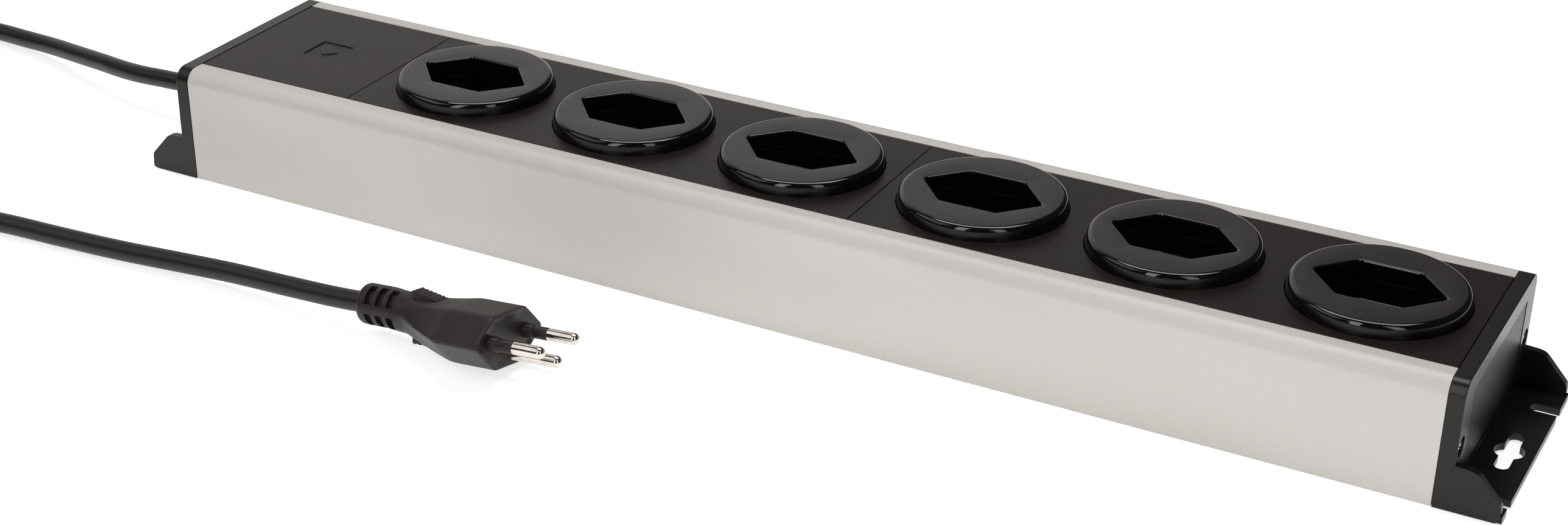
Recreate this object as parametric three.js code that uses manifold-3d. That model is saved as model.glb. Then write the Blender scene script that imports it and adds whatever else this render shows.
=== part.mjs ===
// Desk power strip: a U-shaped aluminium housing under a black cover with six recessed three-pin sockets,
// moulded end caps with mounting ears, contact rails inside, and a mains lead with a moulded plug.
// Millimetres. +X along the strip, away from the lead; +Y to the back; +Z up.
// The origin is at the middle of the strip's underside.
import * as THREE from 'three';
import { mergeVertices } from 'three/addons/utils/BufferGeometryUtils.js';
import Module from 'manifold-3d';

const wasm = await Module();
wasm.setup();

// Shared clearances
const GAP = 0.3;
const SEAM = 0.2;

// Housing profile
const LENGTH = 441;
const WIDTH = 80;
const HEIGHT = 40.6;
const WALL = 2.2;
const TOP_RADIUS = 5;
const LIP = 8.7;
const LEDGE_TOP = 35.9;
const LEDGE_THICKNESS = 1.5;
const LEDGE_REACH = 4.3;
const FLOOR_RIB_Y = 21;
const FLOOR_RIB_HEIGHT = 2.3;
const FLOOR_RIB_WIDTH = 1.5;
const BOSS_HALF = 3.2;

// Screws that hold the end caps
const SCREW_Y = 35.8;
const SCREW_Z = 19;
const SCREW_LENGTH = 13;
const PAN_HEAD_RADIUS = 2.7;
const PAN_SHANK_RADIUS = 1.25;

// Cover: one blank piece over the cable room, then two pieces with three sockets each
const BLANK_LENGTH = 61.7;
const COVER_TOP = 40.5;
const COVER_THICKNESS = 2.3;
const COVER_FLANGE = 35.2;
const MARK_OFFSET = 31;
const MARK_SIZE = 12.6;
const MARK_DEPTH = 0.35;

// Sockets
const SOCKETS_PER_COVER = 3;
const SOCKET_PITCH = 63;
const DISC_RADIUS = 27;
const DISC_TOP = 44.8;
const DISC_EDGE = 1.8;
const RECESS_END = 18.7;
const RECESS_CORNER_X = 8.9;
const RECESS_CORNER_Y = 10.9;
const RECESS_CHAMFER = 1.3;
const RECESS_FLOOR = 32.3;
const POT_WALL = 1.9;
const POT_BOTTOM = 30.3;
const DISC_SEGMENTS = 40;

// Pins, and the holes and contacts that take them
const PIN_SPACING = 19;
const EARTH_OFFSET = 5;
const PIN_RADIUS = 2;
const PIN_LENGTH = 19;
const PIN_HOLE_RADIUS = 2.5;
const CONTACT_OUTER = 2.7;
const CONTACT_INNER = 2.1;
const CONTACT_TOP = 29.8;
const CONTACT_SIDES = 10;

// Contact rails and the carriers that they stand in
const RAIL_THICKNESS = 0.8;
const RAIL_BOTTOM = 8.3;
const RAIL_START = -158;
const RAIL_END = 204;
const CARRIER_TOP = 12;
const CARRIER_BOTTOM = 2.5;
const CARRIER_HALF_WIDTH = 19.5;
const RAILS = {
  live: { y: 9, top: 16, tab: 15, pinX: -PIN_SPACING / 2, pinY: 0, crimps: [12] },
  neutral: { y: 14, top: 22, tab: 21, pinX: PIN_SPACING / 2, pinY: 0, crimps: [17] },
  earth: { y: -12, top: 20, tab: 17, pinX: 0, pinY: -EARTH_OFFSET, crimps: [17, 11] },
};
const CRIMP_RADIUS = 2.3;
const CRIMP_BORE = 1.7;
const CRIMP_LENGTH = 7;

// End caps and their mounting ears
const CAP_THICKNESS = 5;
const EAR_LENGTH = 19.9;
const EAR_WALL = 2.5;
const EAR_PLATE = 2.3;
const EAR_OVERLAP = 0.5;
const EAR_SHIFT = 2.9;
const GUSSET_LENGTH = 19.3;
const GUSSET_TOP = 14.9;
const CAP_TONGUE = { near: 28, far: 30, low: 8, high: 33, reach: 7 };
const SLIT_INNER_Y = 26.75;
const SLIT_WIDTH = 4.7;
const SLIT_START = 11.4;
const KEYHOLE_X = 12.6;
const KEYHOLE_RADIUS = 4.5;
const KEYHOLE_SLOT = 4.4;
const KEYHOLE_LENGTH = 22.5;
const SCREW_RECESS_RADIUS = 3.25;
const SCREW_RECESS_DEPTH = 2.6;
const PANEL_HALF_WIDTH = 30;
const PANEL_LOW = 6.5;
const PANEL_HIGH = 34.5;
const PANEL_DEPTH = 0.5;

// Mains lead
const CORD_RADIUS = 3.4;
const LEAD_Z = 15;
const BUSHING_END = 251.2;
const BUSHING_NECK = 6;
const CORE_RADIUS = 1.3;
const CORES_START = -191.6;
const CORE_STARTS = {
  live: [1.65, LEAD_Z - 0.95],
  neutral: [0, LEAD_Z + 1.9],
  earth: [-1.65, LEAD_Z - 0.95],
};
const CORE_COLOURS = { live: 'brown', neutral: 'blue', earth: 'green' };
const CLAMP_X = -200;
const CLAMP_SCREW_Y = 8;
const EARTH_TAG = { x: -200, y: -28, z: 4.8 };
const COIL = { x: -352.6, y: -76.9, inner: 27, outer: 48, bottom: 0.9, top: 14.6 };
const TIE_ANGLE = 0.4;
const TIE_THICKNESS = 0.6;
const TIE_WIDTH = 3;

// The lead's route from the bushing to the coil, and from the coil to the plug
const ROUTE_TO_COIL = [
  [-251.6, 0, 14.9], [-260, 0, 13.8], [-269.6, 0.7, 13], [-280.7, 1.7, 12], [-291.6, 3.9, 11],
  [-302.7, 6.9, 10], [-320.5, 12, 8], [-338.6, 17.1, 6], [-354.4, 20, 4.7], [-369.8, 21.5, 4.2],
  [-382, 21, 4.2], [-392, 17.5, 4.2], [-400.5, 11, 4.2], [-406.5, 2.5, 4.2], [-409.6, -7.5, 4.2],
  [-409.6, -17.5, 4.2], [-407.4, -28.6, 4.2], [-404.3, -44.3, 4.2], [-401.1, -60.1, 4.3],
];
const ROUTE_TO_PLUG = [
  [-321.6, -117.1, 10.9], [-310, -115.7, 9.4], [-297, -113.6, 6.8], [-282, -110.9, 4.6],
  [-266, -107.9, 3.6], [-251.2, -105.5, 3.5], [-225.8, -103.8, 3.5], [-203, -102.5, 3.8],
  [-177, -100.4, 4.5], [-156.3, -99.7, 5.6], [-131.9, -100.6, 7.2], [-110, -101.5, 9],
  [-101.6, -101.5, 9.85],
];

// Plug: its face is at the local origin, the pins point along local +X, and the earth pin is below
const PLUG_PLACE = [-47.4, -102, 12.3];
const PLUG_ROLL = -12.6;
const PLUG_RISE = 4.9;
const PLUG_LENGTH = 54;
const PLUG_NECK_RADIUS = 6.55;
const PLUG_HALF_LENGTH = 18.3;
const PLUG_UPPER_CORNER = [8.5, 8.2];
const PLUG_LOWER_CORNER = [7.35, -9.2];
const PLUG_HEAD = 16;
const PLUG_NECK_START = 36;
const PLUG_NECK_RISE = 2.2;
const SLEEVE_END = 8.4;
const GRIP_HALF_WIDTH = 2.6;
const PLUG_POINTS = 24;
const NECK_RINGS = 3;
const NECK_PITCH = 4.2;
const NECK_SLOT = 2.1;

// The stiff insert in the plug's face, and the pins' inner ends
const BRIDGE_HALF = 14.2;
const BRIDGE_RADIUS = 5.6;
const BRIDGE_DEPTH = 9;
const BRIDGE_Z = -1.4;
const SLEEVE_BORE = 2.7;
const PIN_CORE = 1.2;
const PIN_ROOT = -7.5;

const rad = THREE.MathUtils.degToRad;

// ---------- Solids ----------

// A closed three.js geometry as a manifold solid.
function solid(geometry) {
  geometry.deleteAttribute('normal');
  geometry.deleteAttribute('uv');
  const merged = mergeVertices(geometry, 1e-4);
  const mesh = new wasm.Mesh({
    numProp: 3,
    vertProperties: new Float32Array(merged.attributes.position.array),
    triVerts: new Uint32Array(merged.index.array),
  });
  return new wasm.Manifold(mesh);
}

function toGeometry(shape) {
  const mesh = shape.getMesh();
  const geometry = new THREE.BufferGeometry();
  geometry.setAttribute('position', new THREE.BufferAttribute(mesh.vertProperties, 3));
  geometry.setIndex(new THREE.BufferAttribute(mesh.triVerts, 1));
  geometry.computeVertexNormals();
  return geometry;
}

const join = (first, ...rest) => rest.reduce((whole, piece) => whole.add(piece), first);
const cut = (first, ...rest) => rest.reduce((whole, piece) => whole.subtract(piece), first);

function box(x0, x1, y0, y1, z0, z1) {
  const geometry = new THREE.BoxGeometry(x1 - x0, y1 - y0, z1 - z0);
  geometry.translate((x0 + x1) / 2, (y0 + y1) / 2, (z0 + z1) / 2);
  return solid(geometry);
}

// A flat outline in the YZ plane, drawn out along X.
function alongX(shape, x0, x1, curveSegments = 8) {
  const geometry = new THREE.ExtrudeGeometry(shape, { depth: x1 - x0, bevelEnabled: false, curveSegments });
  const turn = new THREE.Matrix4().makeBasis(
    new THREE.Vector3(0, 1, 0),
    new THREE.Vector3(0, 0, 1),
    new THREE.Vector3(1, 0, 0),
  );
  geometry.applyMatrix4(turn);
  geometry.translate(x0, 0, 0);
  return solid(geometry);
}

// A flat outline in the XZ plane, drawn out along Y.
function alongY(shape, y0, y1, curveSegments = 8) {
  const geometry = new THREE.ExtrudeGeometry(shape, { depth: y1 - y0, bevelEnabled: false, curveSegments });
  geometry.rotateX(Math.PI / 2);
  geometry.translate(0, y1, 0);
  return solid(geometry);
}

// A flat outline in the XY plane, drawn up along Z.
function alongZ(shape, z0, z1, curveSegments = 8) {
  const geometry = new THREE.ExtrudeGeometry(shape, { depth: z1 - z0, bevelEnabled: false, curveSegments });
  geometry.translate(0, 0, z0);
  return solid(geometry);
}

function outline(points) {
  return new THREE.Shape(points.map(([a, b]) => new THREE.Vector2(a, b)));
}

function rodX(radius, x0, x1, y, z, segments = 16) {
  const geometry = new THREE.CylinderGeometry(radius, radius, x1 - x0, segments);
  geometry.rotateZ(-Math.PI / 2);
  geometry.translate((x0 + x1) / 2, y, z);
  return solid(geometry);
}

function rodZ(radius, z0, z1, x, y, segments = 16) {
  const geometry = new THREE.CylinderGeometry(radius, radius, z1 - z0, segments);
  geometry.rotateX(Math.PI / 2);
  geometry.translate(x, y, (z0 + z1) / 2);
  return solid(geometry);
}

// A turned shape about Z, from [radius, height] points that run upwards.
function turned(profile, segments) {
  const geometry = new THREE.LatheGeometry(profile.map(([r, z]) => new THREE.Vector2(r, z)), segments);
  geometry.rotateX(Math.PI / 2);
  return geometry;
}

// The same, about X.
function turnedX(profile, segments) {
  const geometry = turned(profile, segments);
  geometry.rotateY(Math.PI / 2);
  return geometry;
}

// A skin through rings of [x, y, z] points; the rings have as many points each, are convex,
// and run anticlockwise when looked at from the last one.
function loft(rings) {
  const count = rings[0].length;
  const last = (rings.length - 1) * count;
  const index = [];
  for (let ring = 0; ring < rings.length - 1; ring += 1) {
    for (let i = 0; i < count; i += 1) {
      const a = ring * count + i;
      const b = ring * count + ((i + 1) % count);
      index.push(a, b, b + count, a, b + count, a + count);
    }
  }
  for (let i = 1; i < count - 1; i += 1) {
    index.push(0, i + 1, i);
    index.push(last, last + i, last + i + 1);
  }
  const geometry = new THREE.BufferGeometry();
  geometry.setAttribute('position', new THREE.Float32BufferAttribute(rings.flat(2), 3));
  geometry.setIndex(index);
  return solid(geometry);
}

// A round rod along a list of points.
function rodAlong(points, radius, sides, steps) {
  const curve = new THREE.CatmullRomCurve3(points.map((p) => new THREE.Vector3(...p)), false, 'centripetal');
  const section = new THREE.Shape();
  for (let i = 0; i < sides; i += 1) {
    const angle = (i / sides) * 2 * Math.PI;
    const draw = i === 0 ? 'moveTo' : 'lineTo';
    section[draw](radius * Math.cos(angle), radius * Math.sin(angle));
  }
  section.closePath();
  return solid(new THREE.ExtrudeGeometry(section, { steps, extrudePath: curve, bevelEnabled: false }));
}

// ---------- Assembly ----------

const strip = new THREE.Group();

const MATERIALS = {
  anodised: { color: 0xc9c6c0, roughness: 0.38, metalness: 0.9 },
  satinBlack: { color: 0x2b2928, roughness: 0.5, metalness: 0 },
  glossBlack: { color: 0x1c1b1a, roughness: 0.2, metalness: 0 },
  capBlack: { color: 0x262423, roughness: 0.45, metalness: 0 },
  steel: { color: 0xd0d0ce, roughness: 0.3, metalness: 1 },
  brass: { color: 0xc9a552, roughness: 0.35, metalness: 1 },
  nickel: { color: 0xd8cfc4, roughness: 0.18, metalness: 1 },
  carrier: { color: 0x9a9a96, roughness: 0.6, metalness: 0 },
  cord: { color: 0x1e1c1b, roughness: 0.5, metalness: 0 },
  brown: { color: 0x5a3320, roughness: 0.5, metalness: 0 },
  blue: { color: 0x2a5da8, roughness: 0.5, metalness: 0 },
  green: { color: 0x4f9a3a, roughness: 0.5, metalness: 0 },
};

function place(name, geometry, material, parent = strip) {
  const mesh = new THREE.Mesh(geometry, new THREE.MeshStandardMaterial(MATERIALS[material]));
  mesh.name = name;
  parent.add(mesh);
  return mesh;
}

// ---------- Housing ----------

const HALF = LENGTH / 2;
const HALF_WIDTH = WIDTH / 2;

// The strip's end outline: square at the bottom, round at the top edges.
function endOutline(inset = 0) {
  const side = HALF_WIDTH - inset;
  const top = HEIGHT - inset;
  const shape = new THREE.Shape();
  shape.moveTo(-side, inset);
  shape.lineTo(side, inset);
  shape.absarc(HALF_WIDTH - TOP_RADIUS, HEIGHT - TOP_RADIUS, TOP_RADIUS - inset, 0, Math.PI / 2);
  shape.lineTo(-HALF_WIDTH + TOP_RADIUS, top);
  shape.absarc(-HALF_WIDTH + TOP_RADIUS, HEIGHT - TOP_RADIUS, TOP_RADIUS - inset, Math.PI / 2, Math.PI);
  shape.closePath();
  return shape;
}

// One side of the profile's inner contour, from the lip down to the floor's middle.
function innerContour() {
  const wall = HALF_WIDTH - WALL;
  const lipUnder = HEIGHT - WALL;
  const ledgeUnder = LEDGE_TOP - LEDGE_THICKNESS;
  const boss = wall - 2 * BOSS_HALF + 1.2;
  const rib = WALL + FLOOR_RIB_HEIGHT;
  const ribOuter = FLOOR_RIB_Y + FLOOR_RIB_WIDTH / 2;
  const ribInner = FLOOR_RIB_Y - FLOOR_RIB_WIDTH / 2;
  return [
    [HALF_WIDTH - LIP, lipUnder], [wall - 1, lipUnder], [wall, lipUnder - 1],
    [wall, LEDGE_TOP], [wall - LEDGE_REACH, LEDGE_TOP], [wall - LEDGE_REACH, ledgeUnder], [wall, ledgeUnder],
    [wall, SCREW_Z + BOSS_HALF], [boss, SCREW_Z + BOSS_HALF], [boss, SCREW_Z - BOSS_HALF],
    [wall, SCREW_Z - BOSS_HALF],
    [wall, WALL + 1], [wall - 1, WALL],
    [ribOuter, WALL], [ribOuter, rib], [ribInner, rib], [ribInner, WALL],
  ];
}

function housing() {
  const right = innerContour();
  const left = right.map(([y, z]) => [-y, z]).reverse();
  const opening = [[HALF_WIDTH - LIP, HEIGHT + 1], ...right, ...left, [LIP - HALF_WIDTH, HEIGHT + 1]];
  const inside = alongX(outline(opening.reverse()), -HALF - 1, HALF + 1);
  const screwHoles = [-SCREW_Y, SCREW_Y].map((y) => rodX(1.6, -HALF - 1, HALF + 1, y, SCREW_Z, 12));
  const earthHole = rodZ(1.6, -1, WALL + 1, EARTH_TAG.x, EARTH_TAG.y, 12);
  return cut(alongX(endOutline(), -HALF, HALF), inside, ...screwHoles, earthHole);
}

// ---------- Covers and sockets ----------

const COVER_LENGTH = (LENGTH - BLANK_LENGTH) / 2;
const COVER_STARTS = [-HALF + BLANK_LENGTH, -HALF + BLANK_LENGTH + COVER_LENGTH];

// A cover's section: a flat top between the lips, with flanges that reach under them.
function coverSection() {
  const top = HALF_WIDTH - LIP - GAP;
  const flangeTop = HEIGHT - WALL - GAP;
  const flangeUnder = LEDGE_TOP + GAP;
  const under = COVER_TOP - COVER_THICKNESS;
  const skirt = top - 2;
  const right = [
    [top, COVER_TOP], [top, flangeTop], [COVER_FLANGE, flangeTop], [COVER_FLANGE, flangeUnder],
    [skirt, flangeUnder], [skirt, under],
  ];
  const left = right.map(([y, z]) => [-y, z]).reverse();
  return outline([...right, ...left].reverse());
}

function coverPlate(x0, x1) {
  return alongX(coverSection(), x0 + SEAM / 2, x1 - SEAM / 2);
}

const socketCentre = (start, i) => start + COVER_LENGTH / 2 + (i - 1) * SOCKET_PITCH;

function socketCover(start) {
  const holes = [];
  for (let i = 0; i < SOCKETS_PER_COVER; i += 1) {
    const hole = DISC_RADIUS + SEAM;
    holes.push(rodZ(hole, COVER_TOP - 6, COVER_TOP + 1, socketCentre(start, i), 0, DISC_SEGMENTS));
  }
  return cut(coverPlate(start, start + COVER_LENGTH), ...holes);
}

// The blank cover has a plain square pad pressed into it, with a raised diamond.
function blankCover() {
  const x = -HALF + MARK_OFFSET;
  const half = MARK_SIZE / 2;
  const low = COVER_TOP - MARK_DEPTH;
  const pad = box(x - half, x + half, -half, half, low, COVER_TOP + 1);
  const reach = half * 0.62;
  const diamond = outline([[x + reach, 0], [x, reach], [x - reach, 0], [x, -reach]]);
  return cut(coverPlate(-HALF, -HALF + BLANK_LENGTH), cut(pad, alongZ(diamond, low - 1, COVER_TOP)));
}

// The long hexagon of a socket's recess at height z, widened by grow.
function hexagonRing(grow, z) {
  const end = RECESS_END + grow;
  const x = RECESS_CORNER_X + grow * 0.5;
  const y = RECESS_CORNER_Y + grow;
  return [[end, 0, z], [x, y, z], [-x, y, z], [-end, 0, z], [-x, -y, z], [x, -y, z]];
}

function pinPositions() {
  return [[-PIN_SPACING / 2, 0], [PIN_SPACING / 2, 0], [0, -EARTH_OFFSET]];
}

// A socket: a raised round disc, a flange that bears on the cover from below, and a hexagonal pot.
function socketInsert() {
  const flangeTop = COVER_TOP - COVER_THICKNESS - GAP;
  const flangeBottom = flangeTop - 1.5;
  const edge = DISC_EDGE * 0.3;
  const disc = solid(turned([
    [0, flangeBottom], [DISC_RADIUS + 1.5, flangeBottom], [DISC_RADIUS + 1.5, flangeTop],
    [DISC_RADIUS, flangeTop], [DISC_RADIUS, DISC_TOP - DISC_EDGE], [DISC_RADIUS - edge, DISC_TOP - edge],
    [DISC_RADIUS - DISC_EDGE, DISC_TOP], [0, DISC_TOP],
  ], DISC_SEGMENTS));
  const pot = loft([hexagonRing(POT_WALL, POT_BOTTOM), hexagonRing(POT_WALL, flangeBottom + 0.5)]);
  const recess = loft([
    hexagonRing(0, RECESS_FLOOR), hexagonRing(0, DISC_TOP - RECESS_CHAMFER),
    hexagonRing(RECESS_CHAMFER, DISC_TOP), hexagonRing(RECESS_CHAMFER, DISC_TOP + 1),
  ]);
  const holes = pinPositions().map(([x, y]) => (
    rodZ(PIN_HOLE_RADIUS, POT_BOTTOM - 1, RECESS_FLOOR + 1, x, y, 14)
  ));
  return cut(join(disc, pot), recess, ...holes);
}

// ---------- Contacts ----------

// A moulded carrier under one cover, with a groove for each rail.
function contactCarrier(start) {
  const x0 = start + 2;
  const x1 = start + COVER_LENGTH - 2;
  const block = box(x0, x1, -CARRIER_HALF_WIDTH, CARRIER_HALF_WIDTH, CARRIER_BOTTOM, CARRIER_TOP);
  const half = RAIL_THICKNESS / 2 + GAP;
  const grooves = Object.values(RAILS).map(({ y }) => (
    box(x0 - 1, x1 + 1, y - half, y + half, RAIL_BOTTOM - GAP, CARRIER_TOP + 1)
  ));
  return cut(block, ...grooves);
}

// A rail stands on edge and has a tab and a split sleeve for each socket, and a crimp at its near end.
function contactRail({ y, top, tab, pinX, pinY, crimps }) {
  const half = RAIL_THICKNESS / 2;
  const side = Math.sign(y);
  const pieces = [box(RAIL_START, RAIL_END, y - half, y + half, RAIL_BOTTOM, top)];
  const bores = [];
  for (const start of COVER_STARTS) {
    for (let i = 0; i < SOCKETS_PER_COVER; i += 1) {
      const x = socketCentre(start, i) + pinX;
      const near = pinY + side * CONTACT_INNER;
      const [low, high] = [Math.min(near, y), Math.max(near, y)];
      pieces.push(box(x - 1.8, x + 1.8, low, high, tab - half, tab + half));
      pieces.push(rodZ(CONTACT_OUTER, tab - half, CONTACT_TOP, x, pinY, CONTACT_SIDES));
      bores.push(rodZ(CONTACT_INNER, tab - half - 1, CONTACT_TOP + 1, x, pinY, CONTACT_SIDES));
      bores.push(box(x - 4, x + 4, pinY - 0.35, pinY + 0.35, tab + 2, CONTACT_TOP + 1));
    }
  }
  for (const z of crimps) {
    pieces.push(rodX(CRIMP_RADIUS, RAIL_START - CRIMP_LENGTH, RAIL_START + 0.6, y, z, 12));
    bores.push(rodX(CRIMP_BORE, RAIL_START - CRIMP_LENGTH - 1, RAIL_START - 0.5, y, z, 12));
  }
  return cut(join(...pieces), ...bores);
}

// ---------- Cable room ----------

function cableSaddle() {
  const block = box(CLAMP_X - 6, CLAMP_X + 6, -12, 12, CARRIER_BOTTOM, LEAD_Z - GAP);
  const groove = rodX(CORD_RADIUS + GAP, CLAMP_X - 7, CLAMP_X + 7, 0, LEAD_Z, 16);
  const holes = [-CLAMP_SCREW_Y, CLAMP_SCREW_Y].map((y) => rodZ(1.6, 5, LEAD_Z, CLAMP_X, y, 10));
  return cut(block, groove, ...holes);
}

function cableClamp() {
  const block = box(CLAMP_X - 4, CLAMP_X + 4, -12, 12, LEAD_Z + GAP, LEAD_Z + 5.5);
  const groove = rodX(CORD_RADIUS + GAP, CLAMP_X - 7, CLAMP_X + 7, 0, LEAD_Z, 16);
  const holes = [-CLAMP_SCREW_Y, CLAMP_SCREW_Y].map((y) => rodZ(1.6, LEAD_Z, LEAD_Z + 6, CLAMP_X, y, 10));
  return cut(block, groove, ...holes);
}

// A screw along +Z with a domed head on top of z and a crossed recess.
function panScrew(z, length, headRadius, shankRadius) {
  const head = headRadius * 0.7;
  const body = solid(turned([
    [0, z - length], [shankRadius * 0.5, z - length], [shankRadius, z - length + 1.2], [shankRadius, z],
    [headRadius, z], [headRadius, z + head * 0.45], [headRadius * 0.6, z + head], [0, z + head],
  ], 12));
  const arm = headRadius * 0.55;
  const slot = 0.28;
  const crossOne = box(-arm, arm, -slot, slot, z + head * 0.4, z + head + 1);
  const crossTwo = box(-slot, slot, -arm, arm, z + head * 0.4, z + head + 1);
  return cut(body, crossOne, crossTwo);
}

function earthTag() {
  const { x, y } = EARTH_TAG;
  const ring = cut(rodZ(3.5, WALL + GAP, WALL + GAP + 0.8, x, y, 16), rodZ(1.7, 0, 5, x, y, 12));
  const neck = box(x + 3, x + 6, y - 1.6, y + 1.6, WALL + GAP, WALL + GAP + 0.8);
  const crimp = rodX(2.3, x + 4.5, x + 10.5, y, EARTH_TAG.z, 12);
  const bore = rodX(CRIMP_BORE, x + 6, x + 11, y, EARTH_TAG.z, 12);
  return cut(join(ring, neck, crimp), bore);
}

// Wires from the lead's cut end to the crimps; each starts GAP clear and ends inside its crimp.
function coreTo({ y, crimps }, [startY, startZ]) {
  const end = RAIL_START - 1;
  const points = [
    [CORES_START, startY, startZ], [CORES_START + 4, startY * 1.15, LEAD_Z + (startZ - LEAD_Z) * 1.15],
    [CORES_START + 12, (startY + y) / 2, (startZ + crimps[0]) / 2 + 0.6],
    [end - 12, y, crimps[0]], [end - 7, y, crimps[0]], [end, y, crimps[0]],
  ];
  return rodAlong(points, CORE_RADIUS, 8, 14);
}

function bondWire() {
  const [, z] = RAILS.earth.crimps;
  const { y } = RAILS.earth;
  const start = EARTH_TAG.x + 6.5;
  const points = [
    [start, EARTH_TAG.y, EARTH_TAG.z], [start + 6, EARTH_TAG.y, EARTH_TAG.z],
    [start + 14, EARTH_TAG.y + 7, (EARTH_TAG.z + z) / 2 + 1],
    [RAIL_START - 13, y, z], [RAIL_START - 8, y, z], [RAIL_START - 1, y, z],
  ];
  return rodAlong(points, CORE_RADIUS, 8, 16);
}

// ---------- End caps ----------

const EAR_ROOT = CAP_THICKNESS - EAR_OVERLAP;

// The ear's side wall: nearly level next to the cap, then sloping down to its rounded outer edge.
const gussetOutline = () => outline([
  [EAR_ROOT, 0], [GUSSET_LENGTH - 1.5, 0], [GUSSET_LENGTH - 0.75, 0.2], [GUSSET_LENGTH - 0.2, 0.75],
  [GUSSET_LENGTH, 1.5], [GUSSET_LENGTH, 4.6], [GUSSET_LENGTH - 0.2, 5.5], [GUSSET_LENGTH - 0.7, 6.3],
  [12.2, 13.3], [11.5, 13.9], [10.6, 14.3], [9.2, 14.6], [EAR_ROOT, GUSSET_TOP],
]);

// A slit that is open at the ear's outer edge, on one side of the middle at shift.
function slitOutline(side, shift) {
  const y = shift + side * (SLIT_INNER_Y + SLIT_WIDTH / 2);
  const radius = SLIT_WIDTH / 2;
  const shape = new THREE.Shape();
  shape.moveTo(EAR_LENGTH + 1, y - radius);
  shape.lineTo(EAR_LENGTH + 1, y + radius);
  shape.lineTo(SLIT_START + radius, y + radius);
  shape.absarc(SLIT_START + radius, y, radius, Math.PI / 2, 1.5 * Math.PI);
  shape.closePath();
  return shape;
}

// A round hole for a screw's head, with a narrower slot to both sides for its shank.
function keyhole(shift) {
  const slot = KEYHOLE_SLOT / 2;
  const end = KEYHOLE_LENGTH / 2 - slot;
  const shape = new THREE.Shape();
  shape.absarc(KEYHOLE_X, shift + end, slot, 0, Math.PI);
  shape.absarc(KEYHOLE_X, shift - end, slot, Math.PI, 2 * Math.PI);
  shape.closePath();
  const head = rodZ(KEYHOLE_RADIUS, -1, EAR_PLATE + 1, KEYHOLE_X, shift, 24);
  return join(head, alongZ(shape, -1, EAR_PLATE + 1));
}

// An end cap in its own frame: X runs outwards from the profile's end. The ear's holes lie a little nearer
// the strip's front, which is +Y in the frame of the cap with the lead, because that cap is turned half round.
function endCap(hasLead) {
  const shift = hasLead ? EAR_SHIFT : -EAR_SHIFT;
  const wall = alongX(endOutline(), SEAM, CAP_THICKNESS);
  const plateReach = HALF_WIDTH - EAR_OVERLAP;
  const plate = box(EAR_ROOT, EAR_LENGTH, -plateReach, plateReach, 0, EAR_PLATE);
  const gussets = [
    alongY(gussetOutline(), -HALF_WIDTH, -HALF_WIDTH + EAR_WALL),
    alongY(gussetOutline(), HALF_WIDTH - EAR_WALL, HALF_WIDTH),
  ];
  const { near, far, low, high, reach } = CAP_TONGUE;
  const tongues = [[-far, -near], [near, far]].map(([y0, y1]) => box(-reach, SEAM + 0.5, y0, y1, low, high));
  const body = join(wall, plate, ...gussets, ...tongues);
  const outerFace = CAP_THICKNESS - SCREW_RECESS_DEPTH;
  const panelFace = CAP_THICKNESS - PANEL_DEPTH;
  const cuts = [
    box(panelFace, CAP_THICKNESS + 1, -PANEL_HALF_WIDTH, PANEL_HALF_WIDTH, PANEL_LOW, PANEL_HIGH),
    alongZ(slitOutline(-1, shift), -1, EAR_PLATE + 1, 6),
    alongZ(slitOutline(1, shift), -1, EAR_PLATE + 1, 6),
    keyhole(shift),
  ];
  for (const y of [-SCREW_Y, SCREW_Y]) {
    cuts.push(rodX(SCREW_RECESS_RADIUS, outerFace, CAP_THICKNESS + 1, y, SCREW_Z, 20));
    cuts.push(rodX(1.7, -1, CAP_THICKNESS, y, SCREW_Z, 12));
  }
  if (hasLead) {
    cuts.push(rodX(BUSHING_NECK + GAP, -1, CAP_THICKNESS + 1, 0, LEAD_Z, 20));
  }
  return cut(body, ...cuts);
}

// ---------- Lead ----------

// The bushing clips through the left cap and tapers along the lead, in its own frame along +X.
function cordBushing() {
  const bore = CORD_RADIUS + GAP;
  const inner = -3.2;
  const end = BUSHING_END - HALF;
  const profile = [
    [bore, inner], [7.4, inner], [7.4, -GAP], [BUSHING_NECK, -GAP], [BUSHING_NECK, CAP_THICKNESS + GAP],
    [7, CAP_THICKNESS + GAP], [7, CAP_THICKNESS + 2],
  ];
  const ribs = 3;
  const taperStart = CAP_THICKNESS + 3;
  const pitch = (end - 4 - taperStart) / ribs;
  for (let i = 0; i < ribs; i += 1) {
    const radius = 5.9 - i * 0.45;
    const x = taperStart + i * pitch;
    profile.push([radius, x], [radius - 0.3, x + pitch * 0.55]);
    profile.push([radius - 1, x + pitch * 0.6], [radius - 1.05, x + pitch * 0.95]);
  }
  profile.push([4.6, end - 3.6], [4.4, end - 0.6], [bore + 0.3, end], [bore, end], [bore, inner]);
  return solid(turnedX(profile, 16));
}

// A thin band around the coil, in its own frame: the coil's section is in the XZ plane.
function coilTie() {
  const halfWidth = (COIL.outer - COIL.inner) / 2 + 0.3;
  const low = COIL.bottom - 0.25;
  const high = COIL.top + 0.25;
  const ring = (grow, width) => {
    const reach = halfWidth + grow;
    return box(-reach, reach, -width / 2, width / 2, low - grow, high + grow);
  };
  return cut(ring(TIE_THICKNESS, TIE_WIDTH), ring(0, TIE_WIDTH + 2));
}

function coilRing() {
  const { inner, outer, bottom, top } = COIL;
  const bevel = 1.5;
  const profile = [
    [inner, bottom + bevel], [inner + bevel, bottom], [outer - bevel, bottom], [outer, bottom + bevel],
    [outer, top - bevel], [outer - bevel, top], [inner + bevel, top], [inner, top - bevel],
    [inner, bottom + bevel],
  ];
  return solid(turned(profile, 36));
}

// ---------- Plug ----------

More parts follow.
